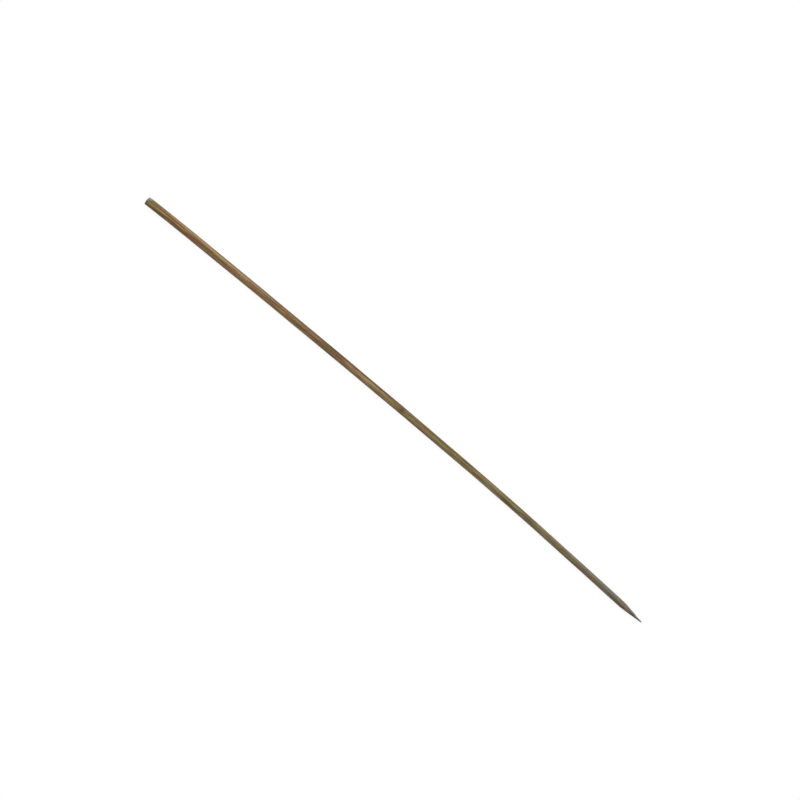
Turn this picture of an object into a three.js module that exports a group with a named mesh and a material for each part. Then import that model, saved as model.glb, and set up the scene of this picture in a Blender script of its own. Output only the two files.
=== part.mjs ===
// A bamboo skewer, in millimetres, lying on the plane z = 0 with its point towards +X.
// It is one piece: a rod planed round from a split of bamboo, sawn square at one end and ground to a
// needle at the other. Like most such rods it has dried a little bowed, and it lies on its side, so
// that the bow is in the plane it lies on.

import * as THREE from 'three';

// The rod
const LENGTH = 300;
const DIAMETER = 3.1;
const SAWN_EDGE_WEAR = 0.14;

// The bow, to the left of someone who looks along the rod from the sawn end. Each side of its peak is
// a quarter wave, raised to a power: below 1 that side is fuller than the wave, and above 1 flatter.
const BOW = 3.1;
const BOW_PEAK_AT = 174;
const SAWN_SIDE_POWER = 0.8;
const POINT_SIDE_POWER = 1.15;

// The ground point
const POINT_LENGTH = 14.5;
const SHOULDER_LENGTH = 4;
const NEEDLE_DIAMETER = 0.6;
const NEEDLE_OFFSET = 0.15;

// A sliver that has torn off the upper side of the point
const CHIP_LENGTH = 4.8;
const CHIP_DEPTH = 0.22;
const CHIP_STEP_LENGTH = 0.4;
const CHIP_BEARING = 60;

// What the round planing die leaves: a slightly oval section with long shallow flats
const OVALITY = 0.08;
const OVAL_BEARING = 20;
const FLAT_COUNT = 7;
const FLAT_DEPTH = 0.035;
const FLAT_TWIST_LENGTH = 900;

// The widest flat, from the straight side of the split, which the rod comes to rest on
const REST_FLAT_DEPTH = 0.07;

// Slow changes of thickness along the rod, as the grain runs
const WAVE_HEIGHT = 0.025;
const LONG_WAVE_LENGTH = 97;
const SHORT_WAVE_LENGTH = 41;

// The scar of one of the cane's joints, planed nearly flush, on the side that was the cane's outside
const SCAR_AT = 134;
const SCAR_SWELL = 0.06;
const SCAR_LENGTH = 6;
const SCAR_BEARING = 100;

// How finely the surface is divided
const SIDES = 32;
const SHAFT_STEP = 5;
const SCAR_STEP = 1.5;
const POINT_STEP = 2;
const CURVE_STEPS = 6;

const radius = DIAMETER / 2;
const restFlatHeight = REST_FLAT_DEPTH - radius;
const needleRadius = NEEDLE_DIAMETER / 2;
const pointStart = LENGTH - POINT_LENGTH;
const chipStart = LENGTH - CHIP_LENGTH;

// Points at even steps from one point of the profile to another, without the first.
function evenSteps(from, to, step) {
  const count = Math.max(1, Math.round(from.distanceTo(to) / step));
  return new THREE.LineCurve(from, to).getPoints(count).slice(1);
}

// The straight, round blank: distance from the axis against distance from the sawn end.
function blankProfile() {
  const taper = new THREE.Vector2(needleRadius - radius, POINT_LENGTH - needleRadius).normalize();
  const corner = new THREE.Vector2(radius, pointStart);
  const shoulderStart = new THREE.Vector2(radius, pointStart - SHOULDER_LENGTH / 2);
  const shoulderEnd = corner.clone().addScaledVector(taper, SHOULDER_LENGTH / 2);
  const shoulder = new THREE.QuadraticBezierCurve(shoulderStart, corner, shoulderEnd);

  const sawnFaceEdge = new THREE.Vector2(radius - SAWN_EDGE_WEAR, 0);
  const shaftStart = new THREE.Vector2(radius, SAWN_EDGE_WEAR);
  const scarStart = new THREE.Vector2(radius, SCAR_AT - SCAR_LENGTH);
  const scarEnd = new THREE.Vector2(radius, SCAR_AT + SCAR_LENGTH);
  const atHeight = (along) => {
    const share = (along - pointStart) / (POINT_LENGTH - needleRadius);
    return new THREE.Vector2(radius + share * (needleRadius - radius), along);
  };
  const chipTop = atHeight(chipStart - CHIP_STEP_LENGTH);
  const chipFoot = atHeight(chipStart);
  const needleStart = atHeight(LENGTH - needleRadius);
  const needleEnd = new THREE.EllipseCurve(0, needleStart.y, needleRadius, needleRadius, 0, Math.PI / 2);

  return [
    new THREE.Vector2(0, 0),
    sawnFaceEdge,
    shaftStart,
    ...evenSteps(shaftStart, scarStart, SHAFT_STEP),
    ...evenSteps(scarStart, scarEnd, SCAR_STEP),
    ...evenSteps(scarEnd, shoulderStart, SHAFT_STEP),
    ...shoulder.getPoints(CURVE_STEPS).slice(1),
    ...evenSteps(shoulderEnd, chipTop, POINT_STEP),
    chipFoot,
    ...evenSteps(chipFoot, needleStart, POINT_STEP),
    ...needleEnd.getPoints(CURVE_STEPS / 2).slice(1, -1),
    new THREE.Vector2(0, LENGTH),
  ];
}

// How far the centre line lies to the left of the straight line between the rod's ends.
function bowAt(along) {
  const beforePeak = along < BOW_PEAK_AT;
  const nearestEnd = beforePeak ? 0 : LENGTH;
  const share = (along - nearestEnd) / (BOW_PEAK_AT - nearestEnd);
  const power = beforePeak ? SAWN_SIDE_POWER : POINT_SIDE_POWER;
  const wave = Math.max(0, Math.sin(share * Math.PI / 2));
  return BOW * Math.pow(wave, power);
}

// Angle between a direction round the rod and a bearing in degrees, which counts from +Y towards +Z.
function angleFrom(bearing, angle) {
  return angle - THREE.MathUtils.degToRad(bearing);
}

// What the die, the grain and the cane's joint add to the round blank's radius.
function surfaceRelief(angle, along) {
  const turn = 2 * Math.PI * along;
  const oval = OVALITY / 2 * Math.cos(2 * angleFrom(OVAL_BEARING, angle));
  const flats = FLAT_DEPTH / 2 * Math.cos(FLAT_COUNT * (angle + turn / FLAT_TWIST_LENGTH));
  const longWave = Math.sin(turn / LONG_WAVE_LENGTH + angle);
  const shortWave = Math.sin(turn / SHORT_WAVE_LENGTH - angle);
  const scarFacing = Math.max(0, Math.cos(angleFrom(SCAR_BEARING, angle)));
  const scarNearness = Math.exp(-Math.pow((along - SCAR_AT) / (SCAR_LENGTH / 3), 2));
  return oval + flats + WAVE_HEIGHT * (longWave + shortWave) / 2 + SCAR_SWELL * scarFacing * scarNearness;
}

// Depth of the torn sliver: deepest where it broke off, and none at the tip or on the far side.
function chipDepth(angle, along) {
  if (along < chipStart) return 0;
  const facing = Math.max(0, Math.cos(angleFrom(CHIP_BEARING, angle)));
  const run = (LENGTH - along) / CHIP_LENGTH;
  return CHIP_DEPTH * facing * run;
}

// Sideways drift of the point's axis, because the tip is never ground quite in the middle.
function needleDrift(along) {
  const share = Math.max(0, along - pointStart) / POINT_LENGTH;
  return NEEDLE_OFFSET * share * share;
}

// The blank, turned to lie along X, gets its relief and chip and then its bow.
function skewerGeometry() {
  const geometry = new THREE.LatheGeometry(blankProfile(), SIDES);
  geometry.rotateZ(-Math.PI / 2);
  const places = geometry.attributes.position;
  const place = new THREE.Vector3();
  for (let i = 0; i < places.count; i++) {
    place.fromBufferAttribute(places, i);
    const along = place.x;
    const angle = Math.atan2(place.z, place.y);
    const blankRadius = Math.hypot(place.y, place.z);
    const relief = surfaceRelief(angle, along) * blankRadius / radius;
    const fromAxis = blankRadius + relief - chipDepth(angle, along);
    const sideways = fromAxis * Math.cos(angle) + bowAt(along) - needleDrift(along);
    const height = Math.max(fromAxis * Math.sin(angle), restFlatHeight);
    places.setXYZ(i, along, sideways, height);
  }
  geometry.computeVertexNormals();
  return geometry;
}

// The origin is in the plane that the skewer lies on, under the middle of its box.
function settle(geometry) {
  geometry.computeBoundingBox();
  const { min, max } = geometry.boundingBox;
  geometry.translate(-(min.x + max.x) / 2, -(min.y + max.y) / 2, -min.z);
  return geometry;
}

const bamboo = new THREE.MeshStandardMaterial({ color: 0x8c6f45, roughness: 0.62, metalness: 0 });

const skewer = new THREE.Mesh(settle(skewerGeometry()), bamboo);
skewer.name = 'skewer';

const part = new THREE.Group();
part.add(skewer);

export default part;
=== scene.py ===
# %% [markdown]
# # A bamboo skewer
# A skewer is one piece of bamboo. A split of cane is pushed through a round planing die, sawn to
# length, and its other end is turned against a grinding belt until it has a point. Nothing is added
# to it afterwards: no varnish and no stain. So what there is to model is the shape that the three
# tools leave, and the fibres that run through it from end to end.
#
# The frame is the solid skewer at its real size. It says where everything is, and this lesson gives
# it the fine surface and the finish.

# %% Load the frame
import math

import bpy
import numpy as np
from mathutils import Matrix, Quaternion, Vector


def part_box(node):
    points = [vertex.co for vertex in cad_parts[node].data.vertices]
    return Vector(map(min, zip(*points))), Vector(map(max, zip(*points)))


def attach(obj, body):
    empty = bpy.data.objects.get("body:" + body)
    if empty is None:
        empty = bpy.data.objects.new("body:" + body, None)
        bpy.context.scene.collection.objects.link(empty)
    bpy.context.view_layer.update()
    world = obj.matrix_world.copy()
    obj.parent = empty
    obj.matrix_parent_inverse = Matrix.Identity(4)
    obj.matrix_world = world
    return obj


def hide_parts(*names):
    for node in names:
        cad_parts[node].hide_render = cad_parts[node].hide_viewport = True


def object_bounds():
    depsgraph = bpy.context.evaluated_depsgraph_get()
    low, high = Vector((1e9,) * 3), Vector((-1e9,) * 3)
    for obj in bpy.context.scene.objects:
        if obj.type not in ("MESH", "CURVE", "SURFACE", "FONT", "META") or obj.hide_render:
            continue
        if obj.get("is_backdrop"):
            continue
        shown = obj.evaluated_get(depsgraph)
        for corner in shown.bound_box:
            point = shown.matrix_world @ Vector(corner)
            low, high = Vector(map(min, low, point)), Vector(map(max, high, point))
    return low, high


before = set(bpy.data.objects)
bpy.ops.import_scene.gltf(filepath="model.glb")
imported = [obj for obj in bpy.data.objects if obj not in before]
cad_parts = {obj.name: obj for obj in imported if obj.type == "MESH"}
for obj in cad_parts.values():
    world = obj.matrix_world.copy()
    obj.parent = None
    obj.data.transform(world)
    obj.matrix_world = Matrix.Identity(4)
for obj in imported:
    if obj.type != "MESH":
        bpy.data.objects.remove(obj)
cad_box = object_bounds()
MM = 0.001

low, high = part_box("skewer")
print("the skewer's box in mm:", [round(side / MM, 2) for side in high - low])

# %% [markdown]
# ## Two helpers
# Every material and every Geometry Nodes tree below is a list of nodes, so one function adds a node:
# it takes the node's settings and, for each of its sockets, either a value or the socket to link it
# to. The other one turns a colour as it is written on the web, which is in sRGB, to the linear
# numbers that the shaders count with.

# %% Helpers for nodes and colours
def add_node(tree, kind, sockets=None, **settings):
    """Adds a node; sockets maps an input's name or number to a value or to an output to link."""
    node = tree.nodes.new(kind)
    for name, value in settings.items():
        setattr(node, name, value)
    for name, value in (sockets or {}).items():
        if isinstance(value, bpy.types.NodeSocket):
            tree.links.new(value, node.inputs[name])
        else:
            node.inputs[name].default_value = value
    return node


def linear(hex_colour):
    """The linear red, green, blue and alpha of an sRGB colour written as six hex digits."""
    shares = [int(hex_colour[i:i + 2], 16) / 255 for i in (0, 2, 4)]
    return [s / 12.92 if s <= 0.04045 else ((s + 0.055) / 1.055) ** 2.4 for s in shares] + [1]


print("honey-brown bamboo in linear colour:", [round(c, 3) for c in linear("80653f")])

# %% [markdown]
# ## The camera
# The photograph looks down on the skewer from the side of its sawn end, and is turned by three
# quarters of a right angle, so that the skewer runs from the top left to the bottom right. The
# camera's place was worked out from where the ends lie in the picture and how thick they look. It is
# only a little over half a metre away, near enough for the sawn end to look thicker than the other.

# %% Place the camera
AIM = Vector((-17.6, 5.1, 1.5)) * MM
DISTANCE = 554.3 * MM
AZIMUTH = math.radians(-37.63)
ELEVATION = math.radians(41.29)
ROLL = math.radians(67.69)
FOCAL_LENGTH = 61.26
FILM_WIDTH = 36.0
NEAREST_SEEN = 10 * MM

towards_camera = Vector((
    math.sin(AZIMUTH) * math.cos(ELEVATION),
    -math.cos(AZIMUTH) * math.cos(ELEVATION),
    math.sin(ELEVATION),
))
camera = bpy.data.objects.new("camera", bpy.data.cameras.new("camera"))
camera.data.lens = FOCAL_LENGTH
camera.data.sensor_width = FILM_WIDTH
camera.data.clip_start = NEAREST_SEEN
camera.location = AIM + towards_camera * DISTANCE
camera.rotation_mode = "QUATERNION"
level = (-towards_camera).to_track_quat("-Z", "Y")
camera.rotation_quaternion = level @ Quaternion((0, 0, 1), ROLL)
bpy.context.scene.collection.objects.link(camera)
bpy.context.scene.camera = camera
bpy.context.scene.view_settings.view_transform = "Standard"
print("the camera is", round(DISTANCE, 3), "m away")

# %% [markdown]
# ## The floor
# The skewer lies on plain white. A white floor sends light back up and would take the dark underside
# away, so the floor is white only to the camera and darker to the light that it bounces. Most of
# what the camera sees there is a glow of its own, so that the shadow stays but is very faint.

# %% Make the floor
FLOOR_SIDE = 8.0
FLOOR_TO_CAMERA = "ffffff"
FLOOR_TO_LIGHT = "8c8a86"
FLOOR_GLOW = 0.93


def floor_material():
    """White paper to the camera, with the shadow kept; a middle grey to the light it bounces."""
    material = bpy.data.materials.new("white paper floor")
    material.use_nodes = True
    tree = material.node_tree
    tree.nodes.clear()
    rays = add_node(tree, "ShaderNodeLightPath")
    seen = add_node(tree, "ShaderNodeMath", {0: rays.outputs["Is Camera Ray"],
                                             1: rays.outputs["Is Glossy Ray"]}, operation="MAXIMUM")
    paper = add_node(tree, "ShaderNodeBsdfDiffuse", {"Color": linear(FLOOR_TO_CAMERA)})
    glow = add_node(tree, "ShaderNodeEmission", {"Color": linear(FLOOR_TO_CAMERA), "Strength": 1.0})
    shown = add_node(tree, "ShaderNodeMixShader", {0: FLOOR_GLOW, 1: paper.outputs[0], 2: glow.outputs[0]})
    grey = add_node(tree, "ShaderNodeBsdfDiffuse", {"Color": linear(FLOOR_TO_LIGHT)})
    either = add_node(tree, "ShaderNodeMixShader", {0: seen.outputs[0], 1: grey.outputs[0],
                                                    2: shown.outputs[0]})
    add_node(tree, "ShaderNodeOutputMaterial", {"Surface": either.outputs[0]})
    return material


def make_floor():
    """A square of paper under the skewer, at the height of its lowest point."""
    half = FLOOR_SIDE / 2
    mesh = bpy.data.meshes.new("floor")
    corners = [(-half, -half, 0), (half, -half, 0), (half, half, 0), (-half, half, 0)]
    mesh.from_pydata(corners, [], [(0, 1, 2, 3)])
    mesh.materials.append(floor_material())
    floor = bpy.data.objects.new("floor", mesh)
    bpy.context.scene.collection.objects.link(floor)
    floor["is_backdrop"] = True
    return floor


floor = make_floor()
print("the", floor.name, "is", FLOOR_SIDE, "m wide")

# %% [markdown]
# ## The light
# One large soft lamp hangs over the far side of the skewer. It brightens the rod's upper side and
# leaves the side towards the viewer in its own shade, which a wider lamp further off fills a little.
# Small lamps would draw a hard shadow and a sharp shine, and the photograph has neither. The world
# gives the rest, at a level at which a colour comes out about as it is written.

# %% Hang the lamps
WORLD_LIGHT = 0.62
LAMPS = {
    "overhead lamp": {"place": (0.02, 0.42, 0.86), "side": 0.55, "watts": 4.4},
    "fill lamp": {"place": (-0.7, -0.75, 0.75), "side": 0.9, "watts": 4.5},
}


def hang_lamp(name, place, side, watts):
    """A square soft lamp that faces the skewer's middle."""
    lamp = bpy.data.objects.new(name, bpy.data.lights.new(name, "AREA"))
    lamp.data.size = side
    lamp.data.energy = watts
    lamp.location = place
    lamp.rotation_mode = "QUATERNION"
    lamp.rotation_quaternion = (-Vector(place)).to_track_quat("-Z", "Y")
    bpy.context.scene.collection.objects.link(lamp)
    return lamp


def light_the_world():
    """Even soft light from all round, and plain white where the camera sees past the floor."""
    world = bpy.data.worlds.new("studio")
    world.use_nodes = True
    tree = world.node_tree
    tree.nodes.clear()
    rays = add_node(tree, "ShaderNodeLightPath")
    light = add_node(tree, "ShaderNodeBackground", {"Color": (1, 1, 1, 1), "Strength": WORLD_LIGHT})
    white = add_node(tree, "ShaderNodeBackground", {"Color": (1, 1, 1, 1), "Strength": 1.0})
    either = add_node(tree, "ShaderNodeMixShader", {0: rays.outputs["Is Camera Ray"], 1: light.outputs[0],
                                                    2: white.outputs[0]})
    add_node(tree, "ShaderNodeOutputWorld", {"Surface": either.outputs[0]})
    bpy.context.scene.world = world


lamps = [hang_lamp(name, **values) for name, values in LAMPS.items()]
light_the_world()
print("lamps:", ", ".join(lamp.name for lamp in lamps))

# %% [markdown]
# ## Reading the rod from the frame
# The solid in the frame already bows, tapers and has its chipped point as the real one does, but it
# is cut into coarse faces. Its corners lie in rings, one ring at each step along the rod. Reading
# those rings gives the middle of the rod and its radius in every direction, and the fine surface can
# then be laid through them without changing the form.

# %% Read the rings
RING_DIGITS = 5
CORNER_DIGITS = 6
FEWEST_CORNERS = 8


def read_rings(node):
    """Where each ring of the solid lies along X, its middle in Y and Z, and its corners round it."""
    points = np.array([vertex.co for vertex in node.data.vertices], float)
    places = np.round(points[:, 0], RING_DIGITS)
    rings = []
    for place in np.unique(places):
        corners = np.unique(np.round(points[places == place, 1:], CORNER_DIGITS), axis=0)
        if len(corners) < FEWEST_CORNERS:
            continue
        middle = (corners.min(0) + corners.max(0)) / 2
        arms = corners - middle
        radii = np.hypot(*arms.T)
        # The middle of the sawn face lies in the plane of the first ring, but isn't part of it.
        outer = radii > radii.max() / 2
        angles = np.arctan2(arms[outer, 1], arms[outer, 0])
        order = np.argsort(angles)
        rings.append((place, middle, angles[order], radii[outer][order]))
    return rings


rings = read_rings(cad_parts["skewer"])
sawn_face = rings[0][0]
tip_place = high.x
print(len(rings), "rings, from", round(sawn_face / MM, 1), "to", round(rings[-1][0] / MM, 1), "mm")

# %% [markdown]
# ## The fine surface
# The rod's skin is a grid: columns run along the fibres and rows run round the rod. Bamboo's fibres
# are long and thin, so the columns lie close together and the rows can lie further apart. It closes
# with a fan on the tip, and with smaller and smaller rings across the sawn face, which get the end
# grain later. Dividing the coarse solid evenly would need many more faces for the same fibres.
#
# Each point also keeps where it would be on a straight rod, in millimetres. The grain follows that
# place, so that it runs along the bow, as it does in a real rod, instead of across it.

# %% Lay the skin
COLUMNS = 128
SHAFT_ROW = 0.6 * MM
POINT_ROW = 0.35 * MM
POINT_ZONE = 24 * MM
EDGE_ROWS = 4
FACE_RINGS = 16
GRAIN = "grain_mm"

edge_turns = np.linspace(0, math.pi / 2, EDGE_ROWS + 1)[:-1]


def row_places():
    """Where the rows lie along X: close together at the worn edge and on the point."""
    worn_to = rings[1][0]
    point_from = tip_place - POINT_ZONE
    edge = sawn_face + (worn_to - sawn_face) * (1 - np.cos(edge_turns))
    shaft = np.arange(worn_to, point_from, SHAFT_ROW)
    point = np.arange(point_from, rings[-1][0], POINT_ROW)
    return np.concatenate([edge, shaft, point, [rings[-1][0]]])


def skin_rows(places):
    """For each row its middle and, for each column, its radius there, between the rings' own."""
    bearings = np.arange(COLUMNS) * 2 * math.pi / COLUMNS
    ring_places = np.array([ring[0] for ring in rings])
    middles = np.array([ring[1] for ring in rings])
    radii = np.array([np.interp(bearings, ring[2], ring[3], period=2 * math.pi) for ring in rings])
    row_middles = np.array([np.interp(places, ring_places, middles[:, i]) for i in (0, 1)]).T
    row_radii = np.array([np.interp(places, ring_places, column) for column in radii.T]).T
    row_radii[:EDGE_ROWS] = radii[0] + np.outer(np.sin(edge_turns), radii[1] - radii[0])
    return bearings, row_middles, row_radii


def skin_faces(row_count):
    """A fan round the middle of the sawn face, four-sided faces from row to row, and a fan on the tip."""
    columns = [(column, (column + 1) % COLUMNS) for column in range(COLUMNS)]
    last = 1 + row_count * COLUMNS
    faces = [(0, 1 + beside, 1 + column) for column, beside in columns]
    for row in range(row_count - 1):
        here, ahead = 1 + row * COLUMNS, 1 + (row + 1) * COLUMNS
        for column, beside in columns:
            faces.append((here + column, here + beside, ahead + beside, ahead + column))
    faces += [(last - COLUMNS + column, last - COLUMNS + beside, last) for column, beside in columns]
    return faces


def lay_skin():
    """The closed skin as a mesh, with its straightened place in millimetres as an attribute."""
    places = row_places()
    bearings, middles, radii = skin_rows(places)
    arms = np.stack([np.cos(bearings), np.sin(bearings)], 1)
    points = [[[sawn_face, *middles[0]]]]
    straight = [[[0, 0, 0]]]
    for share in np.arange(1, FACE_RINGS + 1) / (FACE_RINGS + 1):
        across = radii[0][:, None] * arms * share
        points.append(np.column_stack([np.full(COLUMNS, sawn_face), middles[0] + across]))
        straight.append(np.column_stack([np.zeros(COLUMNS), across]))
    for place, middle, radius in zip(places, middles, radii):
        across = radius[:, None] * arms
        points.append(np.column_stack([np.full(COLUMNS, place), middle + across]))
        straight.append(np.column_stack([np.full(COLUMNS, place - sawn_face), across]))
    points.append([[tip_place, *middles[-1]]])
    straight.append([[tip_place - sawn_face, 0, 0]])

    mesh = bpy.data.meshes.new("skin")
    faces = skin_faces(FACE_RINGS + len(places))
    mesh.from_pydata(np.concatenate(points), [], faces)
    grain = mesh.attributes.new(GRAIN, "FLOAT_VECTOR", "POINT")
    grain.data.foreach_set("vector", (np.concatenate(straight) / MM).astype(np.float32).ravel())
    mesh.polygons.foreach_set("use_smooth", np.ones(len(faces), bool))
    mesh.update()
    return mesh


skin = bpy.data.objects.new("skin", lay_skin())
bpy.context.scene.collection.objects.link(skin)
print("the skin has", len(skin.data.polygons), "faces")

# %% [markdown]
# ## Patterns that follow the grain
# Dry bamboo is streaked from end to end: each streak is a bundle of stiff dark fibres, or the paler
# soft tissue beside it. Other marks keep to one side of the rod or to one place along it. A painted
# picture wrapped round the rod could show them, but it would have a seam. These patterns are worked
# out in space instead. Every one reads the straightened place in millimetres, so its width and
# length are real sizes, and a bearing says on which side it lies.

# %% Patterns that follow the grain
STREAK_DETAIL = 2.0


def grain_of(tree):
    """The straightened place in millimetres, and its parts: along, and across in Y and in Z."""
    field = add_node(tree, "ShaderNodeAttribute", attribute_name=GRAIN)
    parts = add_node(tree, "ShaderNodeSeparateXYZ", {0: field.outputs["Vector"]})
    return field.outputs["Vector"], parts.outputs


def streaks(tree, place, width, length, fade=(0.35, 0.65)):
    """A noise drawn out along the grain, from 0 to 1; its width and length are in millimetres."""
    drawn = add_node(tree, "ShaderNodeVectorMath", {0: place, 1: (1 / length, 1 / width, 1 / width)},
                     operation="MULTIPLY")
    noise = add_node(tree, "ShaderNodeTexNoise", {"Vector": drawn.outputs[0], "Scale": 1.0,
                                                  "Detail": STREAK_DETAIL})
    share = add_node(tree, "ShaderNodeMapRange", {"Value": noise.outputs[0], "From Min": fade[0],
                                                  "From Max": fade[1]}, interpolation_type="SMOOTHSTEP")
    return share.outputs[0]


def facing(tree, part, bearing, half_width, turn_per_mm=0.0):
    """1 along a line at that bearing on the sawn end, fading to 0 at half its width; all in degrees.

    A bearing counts from +Y towards +Z. The fibres of a cane turn slowly round it, and so may the line.
    """
    angle = add_node(tree, "ShaderNodeMath", {0: part[2], 1: part[1]}, operation="ARCTAN2")
    untwisted = add_node(tree, "ShaderNodeMath", {0: part[0], 1: -math.radians(turn_per_mm),
                                                  2: angle.outputs[0]}, operation="MULTIPLY_ADD")
    away = add_node(tree, "ShaderNodeMath", {0: untwisted.outputs[0], 1: math.radians(bearing)},
                    operation="SUBTRACT")
    match = add_node(tree, "ShaderNodeMath", {0: away.outputs[0]}, operation="COSINE")
    share = add_node(tree, "ShaderNodeMapRange", {
        "Value": match.outputs[0], "From Min": math.cos(math.radians(half_width)), "From Max": 1.0},
        interpolation_type="SMOOTHSTEP")
    return share.outputs[0]


def near(tree, along, place_mm, reach_mm):
    """1 at that distance from the sawn end, falling to 0 within the reach on either side."""
    away = add_node(tree, "ShaderNodeMath", {0: along, 1: place_mm}, operation="SUBTRACT")
    size = add_node(tree, "ShaderNodeMath", {0: away.outputs[0]}, operation="ABSOLUTE")
    share = add_node(tree, "ShaderNodeMapRange", {"Value": size.outputs[0], "From Min": 0.0,
                                                  "From Max": reach_mm, "To Min": 1.0, "To Max": 0.0},
                     interpolation_type="SMOOTHSTEP")
    return share.outputs[0]


def line_along(tree, part, place_mm, reach_mm, **side):
    """A line that keeps to one side, strongest at one place along the rod, from 0 to 1."""
    both = add_node(tree, "ShaderNodeMath", {0: facing(tree, part, **side),
                                             1: near(tree, part[0], place_mm, reach_mm)},
                    operation="MULTIPLY")
    return both.outputs[0]


def laid_over(tree, colour, layers):
    """The colour under layers that each have a mask from 0 to 1, a strength, a way of mixing and a hue."""
    for mask, strength, how, hue in layers:
        share = add_node(tree, "ShaderNodeMath", {0: mask, 1: strength}, operation="MULTIPLY")
        mix = add_node(tree, "ShaderNodeMix", {0: share.outputs[0], 6: colour, 7: linear(hue)},
                       data_type="RGBA", blend_type=how)
        colour = mix.outputs[2]
    return colour


print("streaks are drawn in millimetres along and across the grain")

# %% [markdown]
# ## Planed bamboo
# The skin is dry bamboo, planed and left bare, which looks dull and a little silky along the fibres.
# It is honey brown, but the colour drifts along the rod: olive at the saw cut, redder behind it, then
# the colour of straw, olive again, and grey where the point was ground. Small patches of rust and
# olive lie over that. A darker line of fibre runs along the upper side. On that side, where the lamp
# falls, a pale line near the saw cut and a grey sheen towards the point are painted highlight, and the
# grey on the upper rim of the saw cut is wear with a painted highlight over it.
#
# One noise could not give all this, and a picture would only fit one skewer. So the colour is built
# up in layers: a ramp for the drift, the patches, streaks of three widths, pale hairs, the dark line
# and the painted highlights of the upper side, and last the specks and the scar of one of the cane's
# joints.

# %% Planed bamboo
LENGTH_MM = (tip_place - sawn_face) / MM
BAMBOO_IOR = 1.5
COLOURS_ALONG = {
    0: "786a34",  # olive at the saw cut
    12: "865824",  # red-brown behind it
    50: "8f6e42",  # honey
    100: "987c50",  # straw
    170: "84804f",  # olive
    260: "6e6850",  # dull brown
    300: "504e46",  # grey on the needle
}
# Widths and lengths are in millimetres, and a pixel of the picture is 0.4 mm wide on the rod. A bundle
# is really 0.3 to 0.5 mm wide, so it just shows. Hairs, specks and scratches are finer and show only
# close up. The patches are stains of no fixed size, drawn wide enough to show.
BUNDLE = {"width": 0.45, "length": 26.0}
BUNDLE_FADE = (0.46, 0.62)
HAIRLINE = {"width": BUNDLE["width"] / 3, "length": BUNDLE["length"] / 2, "fade": (0.55, 0.64)}
BROAD_BAND = {"width": 1.5, "length": 90.0}
RUSTY_PATCH = {"width": 1.8, "length": 8.0, "fade": (0.50, 0.62)}
OLIVE_PATCH = {"width": 2.2, "length": 11.0, "fade": (0.50, 0.64)}
PALE_HAIR = {"width": 0.2, "length": 9.0, "fade": (0.56, 0.66)}
SPECK = {"width": 0.3, "length": 1.6, "fade": (0.66, 0.72)}
# A painted highlight: a pale line on the lit upper side, near the saw cut.
PAINTED_HIGHLIGHT_LINE = {"bearing": 80.0, "half_width": 24.0, "turn_per_mm": 0.32, "place_mm": 28.0, "reach_mm": 34.0}
DARK_LINE = {"bearing": 56.0, "half_width": 36.0, "turn_per_mm": 0.16, "place_mm": 98.0, "reach_mm": 112.0}
# A painted highlight: a grey sheen on the lit upper side towards the point.
PAINTED_GREY_SHEEN = {"bearing": 85.0, "half_width": 65.0, "place_mm": 290.0, "reach_mm": 90.0}
# Wear with a painted highlight: grey on the upper rim of the saw cut, where the lamp falls.
WORN_EDGE_HIGHLIGHT = {"bearing": 52.0, "half_width": 55.0, "place_mm": 0.0, "reach_mm": 1.6}
SCAR = {"place_mm": 134.0, "reach_mm": 2.2}
SCAR_MARK = {"width": 0.35, "length": 0.9, "fade": (0.45, 0.6)}
SCRATCH = {"width": 0.12, "length": 7.0, "fade": (0.3, 0.7)}
SCRATCH_DEPTH = 0.02 * MM
SCRATCH_STRENGTH = 0.5
ROUGHNESS_BETWEEN_BUNDLES = 0.46
ROUGHNESS_ON_BUNDLES = 0.62


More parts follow.
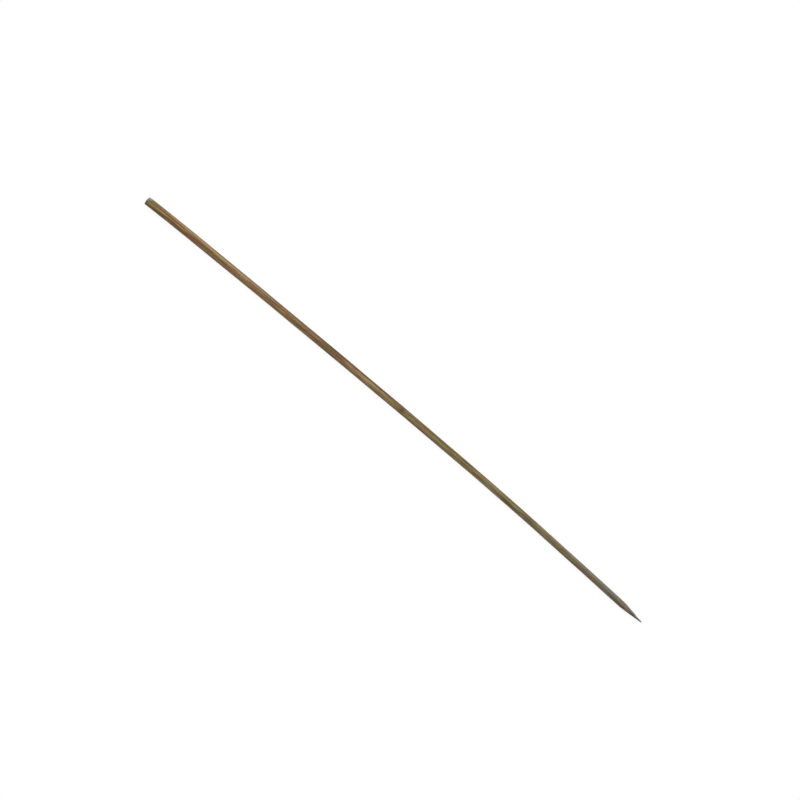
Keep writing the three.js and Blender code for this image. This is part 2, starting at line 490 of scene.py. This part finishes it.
def planed_bamboo():
    """Bare dry bamboo off a planing die: dull, streaked along the grain, with faint scraped lines."""
    material = bpy.data.materials.new("planed bamboo")
    material.use_nodes = True
    tree = material.node_tree
    tree.nodes.clear()
    place, part = grain_of(tree)

    share = add_node(tree, "ShaderNodeMath", {0: part[0], 1: LENGTH_MM}, operation="DIVIDE")
    drift = add_node(tree, "ShaderNodeValToRGB", {0: share.outputs[0]})
    stops = drift.color_ramp.elements
    stops.remove(stops[1])
    for place_mm, hue in COLOURS_ALONG.items():
        stop = stops[0] if place_mm == 0 else stops.new(place_mm / LENGTH_MM)
        stop.position = place_mm / LENGTH_MM
        stop.color = linear(hue)

    scar = near(tree, part[0], **SCAR)
    scar_marks = add_node(tree, "ShaderNodeMath", {0: scar, 1: streaks(tree, place, **SCAR_MARK)},
                          operation="MULTIPLY")
    colour = laid_over(tree, drift.outputs[0], [
        (streaks(tree, place, **RUSTY_PATCH), 0.7, "MIX", "95602e"),
        (streaks(tree, place, **OLIVE_PATCH), 0.6, "MIX", "7f742f"),
        (streaks(tree, place, **BROAD_BAND), 1.0, "MULTIPLY", "ece4d2"),
        (streaks(tree, place, **BUNDLE, fade=BUNDLE_FADE), 1.0, "MULTIPLY", "c2ab80"),
        (streaks(tree, place, **HAIRLINE), 1.0, "MULTIPLY", "a98e66"),
        (streaks(tree, place, **PALE_HAIR), 0.35, "SCREEN", "c8b080"),
        # Painted highlight: a pale line along the lit upper side.
        (line_along(tree, part, **PAINTED_HIGHLIGHT_LINE), 0.6, "MIX", "b09462"),
        (line_along(tree, part, **DARK_LINE), 0.9, "MULTIPLY", "8c8360"),
        # Painted grey sheen on the lit upper side towards the point.
        (line_along(tree, part, **PAINTED_GREY_SHEEN), 0.8, "MIX", "6e6b60"),
        # Painted highlight on the worn upper rim of the saw cut.
        (line_along(tree, part, **WORN_EDGE_HIGHLIGHT), 1.0, "MIX", "a4a4a2"),
        (streaks(tree, place, **SPECK), 0.8, "MULTIPLY", "6a5238"),
        (scar, 0.5, "MULTIPLY", "c9a878"),
        (scar_marks.outputs[0], 0.7, "MULTIPLY", "7a5a38"),
    ])

    dull = add_node(tree, "ShaderNodeMapRange", {
        "Value": streaks(tree, place, **BUNDLE), "To Min": ROUGHNESS_BETWEEN_BUNDLES,
        "To Max": ROUGHNESS_ON_BUNDLES})
    bump = add_node(tree, "ShaderNodeBump", {
        "Strength": SCRATCH_STRENGTH, "Distance": SCRATCH_DEPTH, "Height": streaks(tree, place, **SCRATCH)})
    shader = add_node(tree, "ShaderNodeBsdfPrincipled", {
        "Base Color": colour, "Roughness": dull.outputs[0], "Normal": bump.outputs[0], "IOR": BAMBOO_IOR})
    add_node(tree, "ShaderNodeOutputMaterial", {"Surface": shader.outputs[0]})
    return material


planed = planed_bamboo()
print("planed bamboo changes colour at", len(COLOURS_ALONG), "places along the rod")

# %% [markdown]
# ## The sawn end
# Across the grain bamboo looks quite different. The bundles are cut through and show as dark dots in
# paler tissue. In a whole cane they are packed more closely towards the green skin, but over three
# millimetres that hardly shows, so cells of one spacing make the dots. The saw tears the soft tissue
# out between them, so the face is rough and dull. The half of the face towards the lamp is painted
# pale grey as a highlight, which a mask by bearing makes.

# %% Sawn end grain
BUNDLE_SPACING = 0.36
DOT_EDGE = {"From Min": 0.22, "From Max": 0.42, "To Min": 1.0, "To Max": 0.0}
# A painted highlight: pale grey over the half of the sawn face towards the lamp.
PAINTED_FACE_HIGHLIGHT = {"bearing": 52.0, "half_width": 95.0}
GRIME = {"width": 0.8, "length": 0.8, "fade": (0.45, 0.7)}
TORN_TISSUE = {"width": 0.09, "length": 0.09, "fade": (0.3, 0.7)}
TORN_DEPTH = 0.03 * MM
TORN_STRENGTH = 0.7
SAWN_ROUGHNESS = 0.85


def sawn_end_grain():
    """Bamboo sawn across: dark bundle ends in pale torn tissue, quite matt."""
    material = bpy.data.materials.new("sawn bamboo end grain")
    material.use_nodes = True
    tree = material.node_tree
    tree.nodes.clear()
    place, part = grain_of(tree)
    cells = add_node(tree, "ShaderNodeTexVoronoi", {"Vector": place, "Scale": 1 / BUNDLE_SPACING})
    dot = add_node(tree, "ShaderNodeMapRange", {"Value": cells.outputs["Distance"], **DOT_EDGE})
    colour = laid_over(tree, linear("5e5522"), [
        # A painted highlight: pale grey on the half of the face towards the lamp.
        (facing(tree, part, **PAINTED_FACE_HIGHLIGHT), 1.0, "MIX", "bebebc"),
        (dot.outputs[0], 1.0, "MULTIPLY", "8f8468"),
        (streaks(tree, place, **GRIME), 0.6, "MULTIPLY", "8c8468"),
    ])
    bump = add_node(tree, "ShaderNodeBump", {
        "Strength": TORN_STRENGTH, "Distance": TORN_DEPTH, "Height": streaks(tree, place, **TORN_TISSUE)})
    shader = add_node(tree, "ShaderNodeBsdfPrincipled", {
        "Base Color": colour, "Roughness": SAWN_ROUGHNESS, "Normal": bump.outputs[0], "IOR": BAMBOO_IOR})
    add_node(tree, "ShaderNodeOutputMaterial", {"Surface": shader.outputs[0]})
    return material


sawn = sawn_end_grain()
print("the bundles on the sawn face are", BUNDLE_SPACING, "mm apart")

# %% [markdown]
# ## Lifted fibre
# A sliver that the die has lifted is so thin that light goes round it on all sides, and it has dried
# paler than the rod under it. In the rod's own finish it would vanish against it, so it has a plain
# paler one of its own.

# %% Lifted fibre
FIBRE_PATCHES_PER_MM = 0.35
FIBRE_ROUGHNESS = 0.6


def lifted_fibre():
    """Thin dry bamboo fibre: pale straw, dull, a little uneven from one sliver to the next."""
    material = bpy.data.materials.new("lifted bamboo fibre")
    material.use_nodes = True
    tree = material.node_tree
    tree.nodes.clear()
    place, _ = grain_of(tree)
    uneven = add_node(tree, "ShaderNodeTexNoise", {"Vector": place, "Scale": FIBRE_PATCHES_PER_MM,
                                                   "Detail": 1.0})
    colour = laid_over(tree, linear("8a744c"), [(uneven.outputs[0], 1.0, "MIX", "a8946a")])
    shader = add_node(tree, "ShaderNodeBsdfPrincipled", {
        "Base Color": colour, "Roughness": FIBRE_ROUGHNESS, "IOR": BAMBOO_IOR})
    add_node(tree, "ShaderNodeOutputMaterial", {"Surface": shader.outputs[0]})
    return material


fibre = lifted_fibre()
print("materials:", planed.name, "-", sawn.name, "-", fibre.name)

# %% [markdown]
# ## Helpers for Geometry Nodes
# What repeats by a rule all over the rod is left to Geometry Nodes, so that one number changes it
# everywhere. A tree is easiest to use again when its sizes are inputs with names, so one function
# makes a tree with such inputs. Another one runs a tree on the skin and keeps the outcome as a plain
# mesh, which is what the frame takes.

# %% Helpers for Geometry Nodes
def socket_key(tree, name):
    """The identifier of a tree's named input, which is what a modifier sets it by."""
    return next(item.identifier for item in tree.interface.items_tree if item.name == name)


def new_geometry_tree(name, numbers, materials):
    """A tree with a geometry input and output, a named input for each number, and one for each material."""
    tree = bpy.data.node_groups.new(name, "GeometryNodeTree")
    tree.interface.new_socket("Geometry", in_out="INPUT", socket_type="NodeSocketGeometry")
    tree.interface.new_socket("Geometry", in_out="OUTPUT", socket_type="NodeSocketGeometry")
    for label, default in numbers.items():
        kind = "NodeSocketInt" if isinstance(default, int) else "NodeSocketFloat"
        tree.interface.new_socket(label, in_out="INPUT", socket_type=kind).default_value = default
    for label in materials:
        tree.interface.new_socket(label, in_out="INPUT", socket_type="NodeSocketMaterial")
    return tree, add_node(tree, "NodeGroupInput").outputs, add_node(tree, "NodeGroupOutput").inputs


def grain_place(tree):
    """The straightened place in millimetres: along, and across in Y and in Z."""
    field = add_node(tree, "GeometryNodeInputNamedAttribute", {"Name": GRAIN}, data_type="FLOAT_VECTOR")
    parts = add_node(tree, "ShaderNodeSeparateXYZ", {0: field.outputs["Attribute"]})
    return field.outputs["Attribute"], parts.outputs


def grow(name, base, tree, materials):
    """A plain mesh object of what the tree makes of the base, with these materials as its inputs."""
    modifier = base.modifiers.new(tree.name, "NODES")
    modifier.node_group = tree
    for label, material in materials.items():
        modifier[socket_key(tree, label)] = material
    evaluated = base.evaluated_get(bpy.context.evaluated_depsgraph_get())
    piece = bpy.data.objects.new(name, bpy.data.meshes.new_from_object(evaluated))
    base.modifiers.remove(modifier)
    bpy.context.scene.collection.objects.link(piece)
    return piece


print("the trees read", GRAIN, "at", len(skin.data.vertices), "points of the skin")

# %% [markdown]
# ## What the planing die leaves
# The die shaves the split round, but bamboo doesn't cut like metal. Its stiff bundles of fibre stand
# a little proud of the soft tissue between them, so the surface is ribbed along its whole length with
# ridges a few tenths of a millimetre apart and a few hundredths high. The belt that grinds the point
# cuts across the fibres and leaves it smoother.
#
# That follows one rule all over the rod, so a Geometry Nodes tree makes it. A noise that is stretched
# along the grain, and read at the straightened place, moves every point in or out along its normal.
# On the sawn face the same tree sinks the soft tissue between the cut ends of the bundles instead.

# %% The relief tree
NOISE_SPAN = {"From Min": 0.3, "From Max": 0.7}
RIDGE_NOISE = {"Scale": 1.0, "Detail": 3.0, "Roughness": 0.6}
DOME_SPAN = {"From Min": 0.15, "From Max": 0.55}
FACING_BACK = -0.99
FACE_DEPTH_MM = 0.001


def fibre_ridges(tree, given, place, part):
    """How far the fibres lift or sink each point: along the shaft, and less on the ground point."""
    across = add_node(tree, "ShaderNodeMath", {0: 1.0, 1: given["Ridge Width mm"]}, operation="DIVIDE")
    along = add_node(tree, "ShaderNodeMath", {0: 1.0, 1: given["Ridge Length mm"]}, operation="DIVIDE")
    stretch = add_node(tree, "ShaderNodeCombineXYZ", {0: along.outputs[0], 1: across.outputs[0],
                                                      2: across.outputs[0]})
    grain = add_node(tree, "ShaderNodeVectorMath", {0: place, 1: stretch.outputs[0]}, operation="MULTIPLY")
    noise = add_node(tree, "ShaderNodeTexNoise", {"Vector": grain.outputs[0], **RIDGE_NOISE})
    ridge = add_node(tree, "ShaderNodeMapRange", {"Value": noise.outputs[0], **NOISE_SPAN,
                                                  "To Min": -0.5, "To Max": 0.5})
    shaft = add_node(tree, "ShaderNodeMapRange", {
        "Value": part[0], "From Min": given["Point Start mm"], "From Max": given["Point Ground mm"],
        "To Min": 1.0, "To Max": given["Ridges on Point"]})
    edge = add_node(tree, "ShaderNodeMapRange", {"Value": part[0], "From Min": 0.0,
                                                 "From Max": given["Worn Edge mm"],
                                                 "To Min": 0.0, "To Max": 1.0})
    masks = add_node(tree, "ShaderNodeMath", {0: shaft.outputs[0], 1: edge.outputs[0]}, operation="MULTIPLY")
    lift = add_node(tree, "ShaderNodeMath", {0: ridge.outputs[0], 1: masks.outputs[0]}, operation="MULTIPLY")
    return add_node(tree, "ShaderNodeMath", {0: lift.outputs[0], 1: given["Ridge Height"]},
                    operation="MULTIPLY").outputs[0]


def sunken_tissue(tree, given, place, normal):
    """How far each point of the sawn face sinks: not at all on a bundle's end, and most between them."""
    packing = add_node(tree, "ShaderNodeMath", {0: 1.0, 1: given["Bundle Spacing mm"]}, operation="DIVIDE")
    cells = add_node(tree, "ShaderNodeTexVoronoi", {"Vector": place, "Scale": packing.outputs[0]})
    dome = add_node(tree, "ShaderNodeMapRange", {"Value": cells.outputs["Distance"], **DOME_SPAN,
                                                 "To Min": 1.0, "To Max": 0.0})
    normal_parts = add_node(tree, "ShaderNodeSeparateXYZ", {0: normal.outputs[0]})
    on_face = add_node(tree, "ShaderNodeMath", {0: normal_parts.outputs[0], 1: FACING_BACK},
                       operation="LESS_THAN")
    bundle = add_node(tree, "ShaderNodeMath", {0: dome.outputs[0], 1: on_face.outputs[0]},
                      operation="MULTIPLY")
    sunk = add_node(tree, "ShaderNodeMath", {0: bundle.outputs[0], 1: on_face.outputs[0]},
                    operation="SUBTRACT")
    return add_node(tree, "ShaderNodeMath", {0: sunk.outputs[0], 1: given["Bundle Height"]},
                    operation="MULTIPLY").outputs[0]


def relief_tree():
    """Fibre ridges on the shaft, fainter on the ground point, and sunken tissue on the sawn face."""
    tree, given, result = new_geometry_tree("die and saw marks", {
        "Ridge Height": 0.03 * MM,
        "Ridge Width mm": 0.42,
        "Ridge Length mm": 26.0,
        "Worn Edge mm": 0.6,
        "Point Start mm": 283.0,
        "Point Ground mm": 285.0,
        "Ridges on Point": 0.35,
        "Bundle Height": 0.035 * MM,
        "Bundle Spacing mm": BUNDLE_SPACING,
    }, ["Planed", "Sawn"])
    place, part = grain_place(tree)
    normal = add_node(tree, "GeometryNodeInputNormal")
    total = add_node(tree, "ShaderNodeMath", {0: fibre_ridges(tree, given, place, part),
                                              1: sunken_tissue(tree, given, place, normal)},
                     operation="ADD")
    offset = add_node(tree, "ShaderNodeVectorMath", {0: normal.outputs[0], "Scale": total.outputs[0]},
                      operation="SCALE")
    moved = add_node(tree, "GeometryNodeSetPosition", {"Geometry": given["Geometry"],
                                                       "Offset": offset.outputs[0]})
    plain = add_node(tree, "GeometryNodeRealizeInstances", {0: moved.outputs[0]})
    planed_skin = add_node(tree, "GeometryNodeSetMaterial", {"Geometry": plain.outputs[0],
                                                             "Material": given["Planed"]})
    sawn_faces = add_node(tree, "FunctionNodeCompare", {0: part[0], 1: FACE_DEPTH_MM},
                          operation="LESS_THAN")
    finished = add_node(tree, "GeometryNodeSetMaterial", {
        "Geometry": planed_skin.outputs[0], "Selection": sawn_faces.outputs[0], "Material": given["Sawn"]})
    tree.links.new(finished.outputs[0], result["Geometry"])
    return tree


skewer_body = grow("skewer_body", skin, relief_tree(), {"Planed": planed, "Sawn": sawn})
print("the body has", len(skewer_body.data.polygons), "faces")

# %% [markdown]
# ## Loose fibres
# A planed rod is never quite clean. Here and there the die lifts a thin sliver that stays fast at one
# end, and the saw leaves a short fringe of torn fibres on the side where it came out. They are only
# about a tenth of a millimetre thick, so they are felt more than seen, but they are what tells planed
# bamboo from turned plastic.
#
# They repeat, and they sit on a surface, so a second tree scatters them: points on the skin, a
# five-sided spike on each, turned nearly flat along the rod. The seeds are fixed, so that they come out
# alike every time. The spikes start a little under the skin, so that none hangs in the air.

# %% The loose fibre tree
SPIKE_SIDES = 5
SPIKE_SEGMENTS = 4
SPIKE_TIP = 0.004 * MM
SMALLEST_SPIKE = (0.6, 0.6, 0.35)
LARGEST_SPIKE = (1.1, 1.1, 1.3)
ROOT_SHARE = -0.7
OFF_FACE_MM = 0.01
SAW_EXIT_MM = -0.55
SAW_PUSH = (-2.4, 0.25, 0.1)


def loose_fibre_tree():
    """Thin spikes that lie along the rod, and shorter ones that stick out at the sawn edge."""
    tree, given, result = new_geometry_tree("loose fibres", {
        "Slivers per m2": 11000.0,
        "Sliver Length": 3.2 * MM,
        "Sliver Radius": 0.055 * MM,
        "Sliver Lift": 0.07,
        "Fringe per m2": 9.0e6,
        "Fringe Length": 0.55 * MM,
        "Fringe Zone mm": 0.16,
        "Shaft End mm": 279.0,
        "Seed": 7,
    }, ["Fibre"])
    _, part = grain_place(tree)
    normal = add_node(tree, "GeometryNodeInputNormal")

    def spikes(where, density, seed_step, length, direction):
        """Spikes of one kind, on the faces where the selection holds."""
        seed = add_node(tree, "ShaderNodeMath", {0: given["Seed"], 1: float(seed_step)}, operation="ADD")
        scatter = add_node(tree, "GeometryNodeDistributePointsOnFaces", {
            "Mesh": given["Geometry"], "Selection": where, "Density": density, "Seed": seed.outputs[0]})
        inward = add_node(tree, "ShaderNodeMath", {0: given["Sliver Radius"], 1: ROOT_SHARE},
                          operation="MULTIPLY")
        sink = add_node(tree, "ShaderNodeVectorMath", {0: scatter.outputs["Normal"],
                                                       "Scale": inward.outputs[0]}, operation="SCALE")
        rooted = add_node(tree, "GeometryNodeSetPosition", {"Geometry": scatter.outputs["Points"],
                                                            "Offset": sink.outputs[0]})
        spike = add_node(tree, "GeometryNodeMeshCone", {
            "Vertices": SPIKE_SIDES, "Side Segments": SPIKE_SEGMENTS, "Radius Top": SPIKE_TIP,
            "Radius Bottom": given["Sliver Radius"], "Depth": length})
        turn = add_node(tree, "FunctionNodeAlignRotationToVector", {"Vector": direction}, axis="Z")
        size = add_node(tree, "FunctionNodeRandomValue", {
            "Min": SMALLEST_SPIKE, "Max": LARGEST_SPIKE, "Seed": seed.outputs[0]}, data_type="FLOAT_VECTOR")
        copies = add_node(tree, "GeometryNodeInstanceOnPoints", {
            "Points": rooted.outputs[0], "Instance": spike.outputs["Mesh"],
            "Rotation": turn.outputs[0], "Scale": size.outputs[0]})
        return copies.outputs[0]

    on_shaft = add_node(tree, "FunctionNodeCompare", {0: part[0], 1: given["Shaft End mm"]},
                        operation="LESS_THAN")
    lean = add_node(tree, "ShaderNodeVectorMath", {0: normal.outputs[0], "Scale": given["Sliver Lift"]},
                    operation="SCALE")
    along = add_node(tree, "ShaderNodeVectorMath", {0: lean.outputs[0], 1: (1.0, 0.0, 0.0)}, operation="ADD")
    slivers = spikes(on_shaft.outputs[0], given["Slivers per m2"], 0, given["Sliver Length"],
                     along.outputs[0])

    near_edge = add_node(tree, "FunctionNodeCompare", {0: part[0], 1: given["Fringe Zone mm"]},
                         operation="LESS_THAN")
    off_face = add_node(tree, "FunctionNodeCompare", {0: part[0], 1: OFF_FACE_MM}, operation="GREATER_THAN")
    saw_exit = add_node(tree, "FunctionNodeCompare", {0: part[2], 1: SAW_EXIT_MM}, operation="LESS_THAN")
    at_edge = add_node(tree, "FunctionNodeBooleanMath", {0: near_edge.outputs[0], 1: off_face.outputs[0]},
                       operation="AND")
    fringe_zone = add_node(tree, "FunctionNodeBooleanMath", {0: at_edge.outputs[0], 1: saw_exit.outputs[0]},
                           operation="AND")
    outward = add_node(tree, "ShaderNodeVectorMath", {0: normal.outputs[0], 1: SAW_PUSH}, operation="ADD")
    fringe = spikes(fringe_zone.outputs[0], given["Fringe per m2"], 1, given["Fringe Length"],
                    outward.outputs[0])

    both = add_node(tree, "GeometryNodeJoinGeometry")
    tree.links.new(slivers, both.inputs[0])
    tree.links.new(fringe, both.inputs[0])
    plain = add_node(tree, "GeometryNodeRealizeInstances", {0: both.outputs[0]})
    finished = add_node(tree, "GeometryNodeSetMaterial", {"Geometry": plain.outputs[0],
                                                          "Material": given["Fibre"]})
    tree.links.new(finished.outputs[0], result["Geometry"])
    return tree


loose_fibres = grow("loose_fibres", skin, loose_fibre_tree(), {"Fibre": fibre})
bpy.data.objects.remove(skin)
print("the loose fibres have", len(loose_fibres.data.polygons), "faces")

# %% [markdown]
# ## Joining the frame
# The body stands for the whole solid, so it replaces it, and the loose fibres go with it. Both are
# bamboo, which is the frame's one material slot. The last lines write how far the finished skewer
# reaches next to how far the solid does, so that the two can be compared.

# %% Put the pieces on the frame
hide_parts("skewer")
for piece in (skewer_body, loose_fibres):
    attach(piece, "root")

visual_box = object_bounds()
boxes = {name: [list(corner) for corner in box] for name, box in (("cad", cad_box), ("visual", visual_box))}
for name, (lowest, highest) in boxes.items():
    print(name, "box in mm:", [round((b - a) / MM, 2) for a, b in zip(lowest, highest)])
